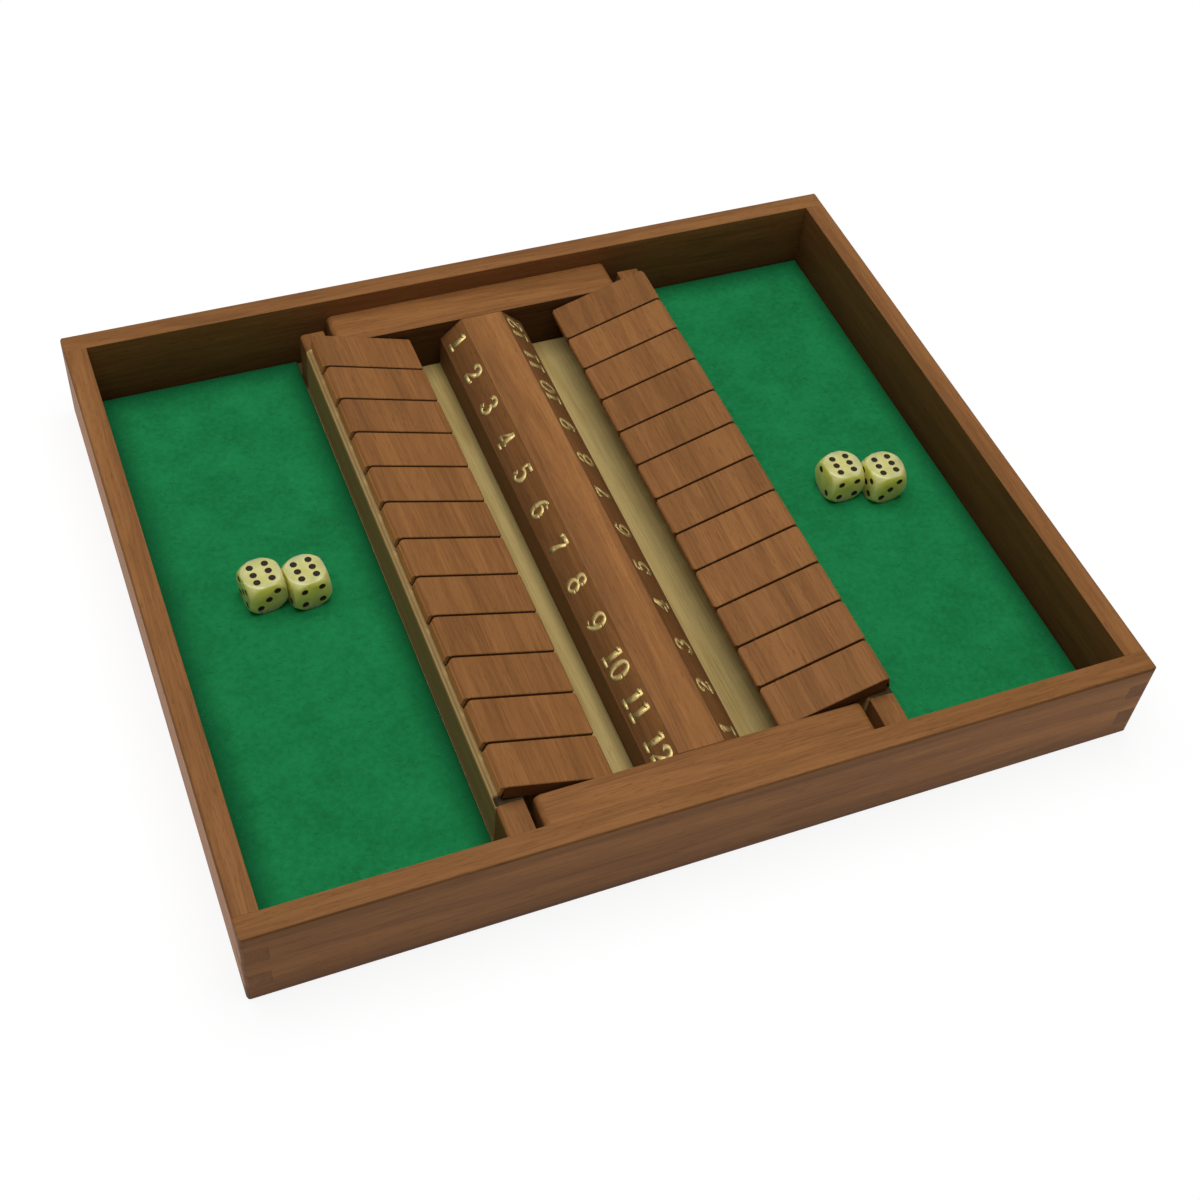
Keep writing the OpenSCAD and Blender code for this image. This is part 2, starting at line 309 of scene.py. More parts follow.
# Felt lint: single dyed wool fibres that stand a little lighter than the mat.
def lintMaterial():
    material, tree = newMaterial("woolLint")
    place = addNode(tree, "ShaderNodeTexCoord")
    noise = addNode(tree, "ShaderNodeTexNoise", {"Vector": place.outputs["Object"], "Scale": 1 / (3 * mm)})
    colour = addNode(tree, "ShaderNodeValToRGB", {0: noise.outputs[0]},
                     stops=[(0.35, "#156b39"), (0.65, "#2c9a59")])
    surface = addNode(tree, "ShaderNodeBsdfPrincipled", {"Base Color": colour.outputs[0], "Roughness": 0.9})
    addNode(tree, "ShaderNodeOutputMaterial", {"Surface": surface.outputs[0]})
    return material


# Gold foil: hot stamped into the stained wood. It is thin and slightly rough, and rubbed through in spots.
def foilMaterial():
    material, tree = newMaterial("goldFoil")
    place = addNode(tree, "ShaderNodeTexCoord")
    rub = addNode(tree, "ShaderNodeTexNoise", {
        "Vector": place.outputs["Object"], "Scale": 1 / (1.1 * mm), "Detail": 4.0, "Roughness": 0.7})
    colour = addNode(tree, "ShaderNodeValToRGB", {0: rub.outputs[0]},
                     stops=[(0.34, "#7f6530"), (0.44, "#b49d5c"), (0.7, "#cab47a")])
    gloss = addNode(tree, "ShaderNodeMapRange", {"Value": rub.outputs[0], "To Min": 0.55, "To Max": 0.3})
    relief = addNode(tree, "ShaderNodeBump", {
        "Height": rub.outputs[0], "Strength": 0.4, "Distance": 0.03 * mm})
    surface = addNode(tree, "ShaderNodeBsdfPrincipled", {
        "Base Color": colour.outputs[0], "Metallic": 0.55, "Roughness": gloss.outputs[0],
        "Normal": relief.outputs[0]})
    addNode(tree, "ShaderNodeOutputMaterial", {"Surface": surface.outputs[0]})
    return material


# Cast urea resin: ivory dice, tumbled to a high polish. Light soaks in, faint clouds lie under the gloss,
# and the polish is a little uneven, more coarsely than on real ones, so that it shows.
def resinMaterial():
    material, tree = newMaterial("ivoryResin")
    place = addNode(tree, "ShaderNodeTexCoord")
    cloud = addNode(tree, "ShaderNodeTexNoise", {
        "Vector": place.outputs["Object"], "Scale": 1 / (5 * mm), "Detail": 3.0})
    colour = addNode(tree, "ShaderNodeValToRGB", {0: cloud.outputs[0]},
                     stops=[(0.35, "#d0c870"), (0.65, "#dfd888")])
    scuff = addNode(tree, "ShaderNodeTexNoise", {
        "Vector": place.outputs["Object"], "Scale": 1 / (0.6 * mm), "Detail": 3.0})
    gloss = addNode(tree, "ShaderNodeMapRange", {"Value": scuff.outputs[0], "To Min": 0.12, "To Max": 0.26})
    surface = addNode(tree, "ShaderNodeBsdfPrincipled", {
        "Base Color": colour.outputs[0], "Roughness": gloss.outputs[0], "IOR": 1.5, "Subsurface Weight": 1.0,
        "Subsurface Radius": (1.0, 1.0, 0.5), "Subsurface Scale": 18 * mm, "Coat Weight": 0.2,
        "Coat Roughness": 0.06})
    addNode(tree, "ShaderNodeOutputMaterial", {"Surface": surface.outputs[0]})
    return material


# Pip paint: dark brown enamel run into each dimple and dried matt, with specks coarse enough to show.
def pipMaterial():
    material, tree = newMaterial("pipPaint")
    place = addNode(tree, "ShaderNodeTexCoord")
    speck = addNode(tree, "ShaderNodeTexNoise", {
        "Vector": place.outputs["Object"], "Scale": 1 / (0.4 * mm), "Detail": 3.0})
    colour = addNode(tree, "ShaderNodeValToRGB", {0: speck.outputs[0]},
                     stops=[(0.35, "#1a110a"), (0.65, "#2b1c10")])
    surface = addNode(tree, "ShaderNodeBsdfPrincipled", {
        "Base Color": colour.outputs[0], "Roughness": 0.7, "Specular IOR Level": 0.2})
    addNode(tree, "ShaderNodeOutputMaterial", {"Surface": surface.outputs[0]})
    return material


# Drawn steel rod: bright, with fine scratches along its length, drawn coarser than real ones to show.
def steelMaterial():
    material, tree = newMaterial("drawnSteel")
    place = addNode(tree, "ShaderNodeTexCoord")
    drawn = addNode(tree, "ShaderNodeMapping", {
        "Vector": place.outputs["Object"], "Scale": (1 / (0.12 * mm), 1 / (25 * mm), 1 / (0.12 * mm))})
    scratch = addNode(tree, "ShaderNodeTexNoise", {"Vector": drawn.outputs[0], "Scale": 1.0, "Detail": 3.0})
    colour = addNode(tree, "ShaderNodeValToRGB", {0: scratch.outputs[0]},
                     stops=[(0.3, "#9c9c99"), (0.7, "#c4c4c0")])
    gloss = addNode(tree, "ShaderNodeMapRange", {
        "Value": scratch.outputs[0], "To Min": 0.22, "To Max": 0.42})
    surface = addNode(tree, "ShaderNodeBsdfPrincipled", {
        "Base Color": colour.outputs[0], "Metallic": 1.0, "Roughness": gloss.outputs[0]})
    addNode(tree, "ShaderNodeOutputMaterial", {"Surface": surface.outputs[0]})
    return material


stained = woodMaterial("stainedHardwood", stainedWood)
bare = woodMaterial("barePlywood", bareWood)
railPine = woodMaterial("railSoftwood", railWood)
felt = feltMaterial(feltLook)
lint = lintMaterial()
foil = foilMaterial()
ivory = resinMaterial()
pipPaint = pipMaterial()
steel = steelMaterial()
print("materials made")


def pieceName(node):
    # a node's name in this script's style: front_wall becomes frontWall
    words = node.split("_")
    return words[0] + "".join(word.capitalize() for word in words[1:])


def easeEdges(work, ease, steps=3, sharpAngle=30):
    # rounds every sharp edge, as sandpaper does
    sharp = [e for e in work.edges
             if len(e.link_faces) == 2 and e.calc_face_angle() > math.radians(sharpAngle)]
    bmesh.ops.bevel(work, geom=sharp, offset=ease, segments=steps, profile=0.5, affect="EDGES",
                    clamp_overlap=False)


def levelNormals(mesh):
    # normals that keep broad faces flat and let the eased edges turn smoothly
    sums = [Vector() for _ in mesh.vertices]
    for face in mesh.polygons:
        for corner in face.vertices:
            sums[corner] += face.normal * face.area ** 2
    mesh.shade_smooth()
    mesh.normals_split_custom_set_from_vertices([s.normalized() for s in sums])


def addAttribute(mesh, name, kind, domain, field, values):
    mesh.attributes.new(name, kind, domain).data.foreach_set(field, values)


def between(stops, place):
    # the value at a place in mm, from stops that each give a place and the value there
    for (start, first), (end, last) in zip(stops, stops[1:]):
        if place <= end:
            return first + (last - first) * max(0, (place - start) / (end - start))
    return stops[-1][1]


def fadedShare(fades, normal, place):
    # the share of lightness that painted light and shade give a place, next to the rest of the piece: each
    # fade runs along one axis, on the faces turned its way or on all of them
    share = 1
    for way, stops, facing in fades:
        if facing is None or normal.dot(Vector(facing)) > 0.5:
            share *= between(stops, place["XYZ".index(way)] / mm)
    return share


def markGrain(mesh, axis, stain, seed, shades=(), fades=(), endShare=0.4):
    # where each point lies along and across the grain, how light its stain and its painted light and shade
    # make it, and what shows end grain
    draw = random.Random(seed)
    shift = Vector((draw.uniform(0, 3), draw.uniform(0, 3), draw.uniform(0, 3)))
    slope = Matrix.Rotation(math.radians(draw.uniform(-1.2, 1.2)), 3, "Z")
    order = {"X": (0, 1, 2), "Y": (1, 0, 2)}[axis]
    places = [slope @ Vector([vertex.co[i] for i in order]) + shift for vertex in mesh.vertices]
    stainAndLightValues, ends = [], []
    for face in mesh.polygons:
        corners = [mesh.vertices[corner].co for corner in face.vertices]
        heights = [corner.z for corner in corners]
        rise = max(max(heights) - min(heights), 0.001 * mm)
        foot, top = next((shade[1:] for shade in shades
                          if face.normal.dot(Vector(shade[0]).normalized()) > 0.9), (1, 1))
        stainAndLightValues += [stain * fadedShare(fades, face.normal, corner)
                   * (foot + (top - foot) * (corner.z - min(heights)) / rise) for corner in corners]
        ends += [endShare * (abs(face.normal[order[0]]) > 0.9)] * len(heights)
    addAttribute(mesh, "grainPlace", "FLOAT_VECTOR", "POINT", "vector", [c for p in places for c in p])
    addAttribute(mesh, "stain", "FLOAT", "CORNER", "value", stainAndLightValues)
    addAttribute(mesh, "endGrain", "FLOAT", "CORNER", "value", ends)


def finishWood(piece, node, body):
    levelNormals(piece.data)
    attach(piece, body)
    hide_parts(node)


def wallShades(outX, outY, inner, outer=1.0):
    # a wall's outer top edge carries painted shade, its inner face painted shade with its own lightness at
    # its foot and at its top, and its outer face may carry painted light
    return [((outX, outY, 1), 0.65, 0.8), ((-outX, -outY, 0), *inner), ((outX, outY, 0), outer, outer)]


# the ends of the side walls' fingers, seen in the front wall's face, carry painted light like that face
jointShades = [((0, -1, 0), 1.1, 1.1)]
woodenPieces = {
    # material, slot, grain axis, eased edge in mm, lightness of the stain and painted light, and faces with
    # painted
    # light or shade: the way such a face looks, and its lightness at its foot and at its top
    "front_wall": (stained, "wood", "X", 0.12, 1.06, wallShades(0, -1, (0.75, 0.75), 1.2)),
    "back_wall": (stained, "wood", "X", 0.12, 1.0, wallShades(0, 1, (0.35, 1.05))),
    "left_wall": (stained, "wood", "Y", 0.12, 1.08,
                  wallShades(-1, 0, (0.7, 0.8), 1.65) + jointShades),
    "right_wall": (stained, "wood", "Y", 0.12, 1.07,
                   wallShades(1, 0, (0.36, 0.76)) + jointShades),
    # the end blocks' inner faces carry painted shade, darker at the foot
    "end_block_front": (stained, "wood", "X", 0.5, 1.12, [((0, 1, 0), 0.27, 0.45)]),
    "end_block_back": (stained, "wood", "X", 0.5, 1.1, [((0, -1, 0), 0.22, 0.4)]),
    # the left posts' outer faces carry painted shade
    "post_front_left": (stained, "wood", "Y", 0.4, 1.0, [((-1, 0, 0), 0.7, 0.8)]),
    "post_front_right": (stained, "wood", "Y", 0.4, 1.0, []),
    "post_back_left": (stained, "wood", "Y", 0.4, 1.0, [((-1, 0, 0), 0.7, 0.8)]),
    "post_back_right": (stained, "wood", "Y", 0.4, 0.9, []),
    # the ridge's slopes carry painted shade that deepens towards their foot, and its lower sides painted
    # shade
    "number_ridge": (stained, "wood", "Y", 0.5, 1.2, [
        ((-0.68, 0, 0.73), 0.52, 0.95), ((0.68, 0, 0.73), 0.44, 0.66),
        ((-1, 0, 0), 0.72, 0.72), ((1, 0, 0), 0.63, 0.63)]),
    # the rails' outer faces and outer eased edges carry painted shade
    "rail_left": (railPine, "bare_wood", "Y", 0.3, 1.0, [((-1, 0, 0), 0.45, 0.45), ((-1, 0, 1), 0.6, 0.6)]),
    "rail_right": (railPine, "bare_wood", "Y", 0.3, 1.0, [((1, 0, 0), 0.45, 0.45), ((1, 0, 1), 0.6, 0.6)]),
    "base_panel": (bare, "plywood", "Y", 0.2, 1.0, []),
}


def railFades(outX):
    # a rail's outer face is paler along the felt and carries painted light just under its eased top edge and
    # painted shade on that edge, and the rail's top carries a painted shadow where it meets the front post
    return [("Z", [(10.8, 1.45), (11.6, 1.0), (27.5, 1.0), (30.4, 1.6), (30.7, 0.75)], (outX, 0, 0)),
            ("Y", [(-114.6, 0.1), (-113.2, 1.0)], (0, 0, 1))]


# how a piece's painted light and shade fade: the axis, stops with a place in mm and the lightness there, and
# the way that the faded faces look, or None for all of them. The front wall's face carries painted shade
# along both edges and painted light growing towards its right end, the ridge's top carries painted light in
# its middle and painted shade at its edges, and painted shade lies in the base's corners along the ridge and
# beside the end blocks.
paintedLightFades = {
    "front_wall": [("Z", [(0, 0.55), (3, 0.72), (11, 1.0), (33, 1.0), (35.5, 0.78)], (0, -1, 0)),
                   ("X", [(-171, 0.94), (40, 1.0), (171, 1.2)], (0, -1, 0))],
    "number_ridge": [("X", [(-9, 0.82), (-4.5, 0.98), (0, 1.1), (5, 1.1), (9, 0.95)], None)],
    "rail_left": railFades(-1),
    "rail_right": railFades(1),
    "base_panel": [("X", [(-22, 1.0), (-20, 0.75), (-18.5, 0.55), (18, 0.55), (19, 1.0)], None),
                   ("Y", [(-121, 0.25), (-118.6, 1.0), (118.6, 1.0), (121, 0.25)], None)],
}


def cutAt(work, fades):
    # cuts a piece across at every stop of its fades
    for way, stops, _ in fades:
        across = Vector([float(way == letter) for letter in "XYZ"])
        for place, _ in stops:
            bmesh.ops.bisect_plane(work, geom=work.verts[:] + work.edges[:] + work.faces[:], dist=0.01 * mm,
                                   plane_co=across * place * mm, plane_no=across)


def dressedCopy(node, seed, material, slot, axis, ease, stain, shades):
    # the CAD piece with its triangles merged, its edges eased and its stain, with painted light and shade,
    # laid on
    fades = paintedLightFades.get(node, [])
    work = bmesh.new()
    work.from_mesh(nodes[node].data)
    bmesh.ops.remove_doubles(work, verts=work.verts, dist=0.001 * mm)
    bmesh.ops.dissolve_limit(work, angle_limit=math.radians(1), verts=work.verts, edges=work.edges)
    cutAt(work, fades)
    easeEdges(work, ease * mm)
    piece = meshObject(pieceName(node), work, material)
    markGrain(piece.data, axis, stain, seed, shades, fades)
    finishWood(piece, node, "case")


for seed, (node, look) in enumerate(woodenPieces.items()):
    dressedCopy(node, seed, *look)
for node in ("hinge_rod_left", "hinge_rod_right"):
    for slotPlace in nodes[node].material_slots:
        slotPlace.material = steel
print("wooden case dressed")


def startTree(name, sizes, takes=None):
    # a tree with named inputs, after the mesh that it takes; gives the tree and the inputs' sockets
    tree = bpy.data.node_groups.new(name, "GeometryNodeTree")
    tree.interface.new_socket("Geometry", in_out="OUTPUT", socket_type="NodeSocketGeometry")
    if takes:
        tree.interface.new_socket(takes, in_out="INPUT", socket_type="NodeSocketGeometry")
    for label, value in sizes.items():
        kind = "NodeSocketInt" if isinstance(value, int) else "NodeSocketFloat"
        tree.interface.new_socket(label, in_out="INPUT", socket_type=kind)
    return tree, addNode(tree, "NodeGroupInput").outputs


def endTree(tree, geometry, material, extra=None):
    # realizes what is instanced and paints it, with a second material where extra's field says
    real = addNode(tree, "GeometryNodeRealizeInstances", {"Geometry": geometry})
    painted = addNode(tree, "GeometryNodeSetMaterial", {"Geometry": real.outputs[0], "Material": material})
    if extra:
        painted = addNode(tree, "GeometryNodeSetMaterial", {
            "Geometry": painted.outputs[0], "Selection": extra[0], "Material": extra[1]})
    addNode(tree, "NodeGroupOutput", {0: painted.outputs[0]})


def meshFromTree(name, tree, sizes, start=None):
    # runs a tree once, on start's mesh if there is one, and gives its result as a plain mesh
    holder = bpy.data.objects.new(name + "Maker", start or bpy.data.meshes.new(name + "Start"))
    scene.collection.objects.link(holder)
    modifier = holder.modifiers.new("maker", "NODES")
    modifier.node_group = tree
    for socket in tree.interface.items_tree:
        if socket.in_out == "INPUT" and socket.name in sizes:
            modifier[socket.identifier] = sizes[socket.name]
    depsgraph = bpy.context.evaluated_depsgraph_get()
    mesh = bpy.data.meshes.new_from_object(holder.evaluated_get(depsgraph), depsgraph=depsgraph)
    bpy.data.objects.remove(holder)
    mesh.name = name
    return mesh


# the flaps: slats with a rounded nose, each bored for the rod that it turns on
flapSizes = {
    "Length": 44 * mm, "Heel": 8 * mm, "Thickness": 6 * mm,
    "Nose Radius": 2.5 * mm, "Edge Radius": 1.25 * mm, "Bore Radius": 1.57 * mm,
}
flapFinish = {
    "stopPlay": 0.1 * mm,       # between a flap's underside and its rail
    "ease": 0.55 * mm, "planRound": 1.3 * mm,
    # the nose end's lightness is a painted highlight
    "stain": (1.04, 1.17), "noseStain": 1.7, "seed": 12,
}


def flapTree(sizes):
    # a slat seen along its rod: rounded outline with a bore, drawn out to its width
    tree, given = startTree("flapSlat", {**sizes, "Width": 0.0})
    outline = addNode(tree, "GeometryNodeCurvePrimitiveQuadrilateral", {
        "Width": given["Length"], "Height": given["Thickness"]}, mode="RECTANGLE")
    place = addNode(tree, "ShaderNodeSeparateXYZ", {0: addNode(tree, "GeometryNodeInputPosition").outputs[0]})
    nearNose = addNode(tree, "ShaderNodeMath", {0: place.outputs[0], 1: 0.0}, operation="GREATER_THAN")
    onTop = addNode(tree, "ShaderNodeMath", {0: place.outputs[1], 1: 0.0}, operation="GREATER_THAN")
    upperNose = addNode(tree, "ShaderNodeMath", {
        0: nearNose.outputs[0], 1: onTop.outputs[0]}, operation="MULTIPLY")
    radius = addNode(tree, "ShaderNodeMix", {
        0: upperNose.outputs[0], 2: given["Edge Radius"], 3: given["Nose Radius"]})
    rounded = addNode(tree, "GeometryNodeFilletCurve", {
        "Curve": outline.outputs[0], "Count": 8, "Radius": radius.outputs[0]}, mode="POLY")
    half = addNode(tree, "ShaderNodeMath", {
        0: given["Length"], 1: 0.5, 2: given["Heel"]}, operation="MULTIPLY")
    shift = addNode(tree, "ShaderNodeMath", {0: half.outputs[0], 1: given["Heel"]}, operation="SUBTRACT")
    toRod = addNode(tree, "ShaderNodeCombineXYZ", {0: shift.outputs[0]})
    moved = addNode(tree, "GeometryNodeTransform", {
        "Geometry": rounded.outputs[0], "Translation": toRod.outputs[0]})
    bore = addNode(tree, "GeometryNodeCurvePrimitiveCircle", {
        "Resolution": 32, "Radius": given["Bore Radius"]})
    drawn = addNode(tree, "GeometryNodeJoinGeometry")
    tree.links.new(moved.outputs[0], drawn.inputs[0])
    tree.links.new(bore.outputs[0], drawn.inputs[0])
    face = addNode(tree, "GeometryNodeFillCurve", {"Curve": drawn.outputs[0]}, mode="NGONS")
    along = addNode(tree, "ShaderNodeCombineXYZ", {2: given["Width"]})
    risen = addNode(tree, "GeometryNodeExtrudeMesh", {
        "Mesh": face.outputs[0], "Offset": along.outputs[0], "Offset Scale": 1.0, "Individual": False})
    under = addNode(tree, "GeometryNodeFlipFaces", {"Mesh": face.outputs[0]})
    slat = addNode(tree, "GeometryNodeJoinGeometry")
    tree.links.new(risen.outputs[0], slat.inputs[0])
    tree.links.new(under.outputs[0], slat.inputs[0])
    closed = addNode(tree, "GeometryNodeMergeByDistance", {
        "Geometry": slat.outputs[0], "Distance": 0.001 * mm})
    endTree(tree, closed.outputs[0], stained)
    return tree


def restTilt(side):
    # the tilt at which a flap's underside rests on its rail's inner edge
    low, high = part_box("rail_" + side)
    rod = hinges["flap_" + side + "_01"]["pos_m"]
    inner = min(abs(low.x), abs(high.x)) - abs(rod[0])
    rise = high.z - rod[2]
    lift = (flapSizes["Thickness"] / 2 + flapFinish["stopPlay"]) / math.hypot(inner, rise)
    return math.atan2(rise, inner) + math.asin(lift)


def roundPlan(work, heel, nose, width, radius):
    # draws in the upright corners of a slat that lies along X with its width along Z
    for x in (radius - heel, nose - radius):
        bmesh.ops.bisect_plane(work, geom=work.verts[:] + work.edges[:] + work.faces[:],
                               plane_co=(x, 0, 0), plane_no=(1, 0, 0))
    for vertex in work.verts:
        past = min(max(vertex.co.x - nose + radius, radius - heel - vertex.co.x, 0), radius)
        inward = radius - math.sqrt(radius ** 2 - past ** 2)
        vertex.co.z += inward if vertex.co.z < width / 2 else -inward


def makeFlaps():
    tree = flapTree(flapSizes)
    draw = random.Random(flapFinish["seed"])
    for side, sign in sides.items():
        tilt = restTilt(side)
        for node in sorted(n for n in hinges if n.startswith("flap_" + side)):
            low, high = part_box(node)
            width = high.y - low.y
            rod = Vector(hinges[node]["pos_m"])
            mesh = meshFromTree(pieceName(node), tree, {**flapSizes, "Width": width})
            turn = Matrix.Rotation(0 if sign > 0 else math.pi, 4, "Z")
            stand = Matrix.Rotation(math.pi / 2, 4, "X") @ Matrix.Translation((0, 0, -width / 2))
            work = bmesh.new()
            work.from_mesh(mesh)
            roundPlan(work, flapSizes["Heel"], flapSizes["Length"] - flapSizes["Heel"], width,
                      flapFinish["planRound"])
            bmesh.ops.recalc_face_normals(work, faces=work.faces)
            easeEdges(work, flapFinish["ease"])
            place = Matrix.Translation(rod) @ turn @ Matrix.Rotation(-tilt, 4, "Y") @ stand
            bmesh.ops.transform(work, matrix=place, verts=work.verts)
            piece = meshObject(pieceName(node), work, stained)
            # the rounded nose end carries a painted highlight
            nose = (sign * math.cos(tilt), 0, math.sin(tilt))
            markGrain(piece.data, "Y", draw.uniform(*flapFinish["stain"]), draw.randrange(1000),
                      [(nose, flapFinish["noseStain"], flapFinish["noseStain"])], endShare=1.0)
            finishWood(piece, node, node)


makeFlaps()
print("flaps made")


# the felt mats and the lint on them
# one of these sizes is how far the painted shade near the felt's edges reaches in
feltSizes = {"edgeRound": 0.9 * mm, "step": 3 * mm, "swell": 0.10 * mm, "crushed": 14 * mm,
             "lintMargin": 1.5 * mm, "seed": 21}
lintSizes = {"Density": 90000.0, "Fibre Length": 2.4 * mm, "Fibre Radius": 0.045 * mm, "Bend": 0.5 * mm,
             "Seed": 3}


def lintTree(sizes):
    # short bent fibres strewn over the faces of a mat, thicker than real wool, which is too fine to show
    tree, given = startTree("feltLint", sizes, takes="Mat")
    points = addNode(tree, "GeometryNodeDistributePointsOnFaces", {
        "Mesh": given["Mat"], "Density": given["Density"], "Seed": given["Seed"]})
    half = addNode(tree, "ShaderNodeMath", {0: given["Fibre Length"], 1: 0.5}, operation="MULTIPLY")
    back = addNode(tree, "ShaderNodeMath", {0: half.outputs[0], 1: -1.0}, operation="MULTIPLY")
    start = addNode(tree, "ShaderNodeCombineXYZ", {0: back.outputs[0]})
    end = addNode(tree, "ShaderNodeCombineXYZ", {0: half.outputs[0]})
    middle = addNode(tree, "ShaderNodeCombineXYZ", {1: given["Bend"], 2: given["Fibre Radius"]})
    strand = addNode(tree, "GeometryNodeCurveQuadraticBezier", {
        "Resolution": 4, "Start": start.outputs[0], "Middle": middle.outputs[0], "End": end.outputs[0]})
    section = addNode(tree, "GeometryNodeCurvePrimitiveCircle", {
        "Resolution": 3, "Radius": given["Fibre Radius"]})
    fibre = addNode(tree, "GeometryNodeCurveToMesh", {
        "Curve": strand.outputs[0], "Profile Curve": section.outputs[0], "Fill Caps": True})
    turn = addNode(tree, "FunctionNodeRandomValue", {
        "Min": (-0.12, -0.12, 0.0), "Max": (0.12, 0.12, 2 * math.pi), "Seed": given["Seed"]},
        data_type="FLOAT_VECTOR")
    size = addNode(tree, "FunctionNodeRandomValue", {2: 0.5, 3: 1.3, "Seed": given["Seed"]})
    strewn = addNode(tree, "GeometryNodeInstanceOnPoints", {
        "Points": points.outputs[0], "Instance": fibre.outputs[0], "Rotation": turn.outputs[0],
        "Scale": size.outputs[1]})
    endTree(tree, strewn.outputs[0], lint)
    return tree


def makeFelt(side, tree):
    node = "felt_" + side
    low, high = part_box(node)
    edge = feltSizes["edgeRound"]
    columns = round((high.x - low.x) / feltSizes["step"])
    rows = round((high.y - low.y) / feltSizes["step"])
    draw = random.Random(feltSizes["seed"])
    work = bmesh.new()
    bmesh.ops.create_grid(work, x_segments=columns, y_segments=rows, size=0.5)
    for vertex in work.verts:
        vertex.co.x = low.x + (vertex.co.x + 0.5) * (high.x - low.x)
        vertex.co.y = low.y + (vertex.co.y + 0.5) * (high.y - low.y)
        vertex.co.z = high.z - draw.uniform(0, feltSizes["swell"])
    rim = [e for e in work.edges if e.is_boundary]
    skirt = bmesh.ops.extrude_edge_only(work, edges=rim)["geom"]
    for vertex in [g for g in skirt if isinstance(g, bmesh.types.BMVert)]:
        vertex.co.z = low.z
    border = [e for e in work.edges if e.is_boundary]
    bmesh.ops.holes_fill(work, edges=border)
    bmesh.ops.recalc_face_normals(work, faces=work.faces)
    # the edges where the top turns down into the sides
    upper = [e for e in work.edges if e.calc_face_angle() > 1 and min(v.co.z for v in e.verts) > low.z]
    bmesh.ops.bevel(work, geom=upper, offset=edge, segments=3, profile=0.5, affect="EDGES",
                    clamp_overlap=False)
    mat = meshObject(pieceName(node), work, felt)
    mat.data.shade_smooth()
    # painted shade, strongest at the mat's edges and gone a set distance in
    rims = [min(v.co.x - low.x, high.x - v.co.x, v.co.y - low.y, high.y - v.co.y) for v in mat.data.vertices]
    addAttribute(mat.data, "rim", "FLOAT", "POINT", "value",
                 [max(1 - rim / feltSizes["crushed"], 0) ** 2 for rim in rims])
    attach(mat, "case")
    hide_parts(node)

    top = bmesh.new()
    bmesh.ops.create_grid(top, x_segments=1, y_segments=1, size=0.5)
    margin = feltSizes["lintMargin"]
    for vertex in top.verts:
        vertex.co.x = low.x + margin + (vertex.co.x + 0.5) * (high.x - low.x - 2 * margin)
        vertex.co.y = low.y + margin + (vertex.co.y + 0.5) * (high.y - low.y - 2 * margin)
        vertex.co.z = high.z
    start = bpy.data.meshes.new("lintGround")
    top.to_mesh(start)
    top.free()
    strands = bpy.data.objects.new("lint" + side.capitalize(),
                                   meshFromTree("lint" + side.capitalize(), tree, lintSizes, start))
    scene.collection.objects.link(strands)
    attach(strands, "case")


strewLint = lintTree(lintSizes)
for side in sides:
    makeFelt(side, strewLint)
print("felt laid")


# the dice: cubes trimmed by a ball, with a round dimple for each pip
pipSizes = {"diameter": 2.8 * mm, "depth": 0.5 * mm}
dieSizes = {
    "Width": 15 * mm, "Ball Diameter": 21.3 * mm, "Blend": 0.5 * mm, "Cuts": 26,
    "Pip Ball Radius": (pipSizes["diameter"] ** 2 / 4 + pipSizes["depth"] ** 2) / (2 * pipSizes["depth"]),
}
dieTurns = {"die_1": 187, "die_2": 8.6, "die_3": 1, "die_4": 181.5}      # degrees, seen from above
dieFaces = [
    # a face's turn about X and about Y in degrees, its pips in steps, and the steps as shares of the width
    (0, 0, [(x, y) for x in (-1, 1) for y in (-1, 0, 1)], (0.2, 0.258)),
    (180, 0, [(0, 0)], (0.235, 0.235)),
    (90, 0, [(x, y) for x in (-1, 1) for y in (-1, 1)], (0.235, 0.235)),
    (-90, 0, [(-1, -1), (0, 0), (1, 1)], (0.235, 0.235)),
    (0, -90, [(-1, -1), (1, 1)], (0.235, 0.235)),
    (0, 90, [(-1, -1), (-1, 1), (1, -1), (1, 1), (0, 0)], (0.235, 0.235)),
]


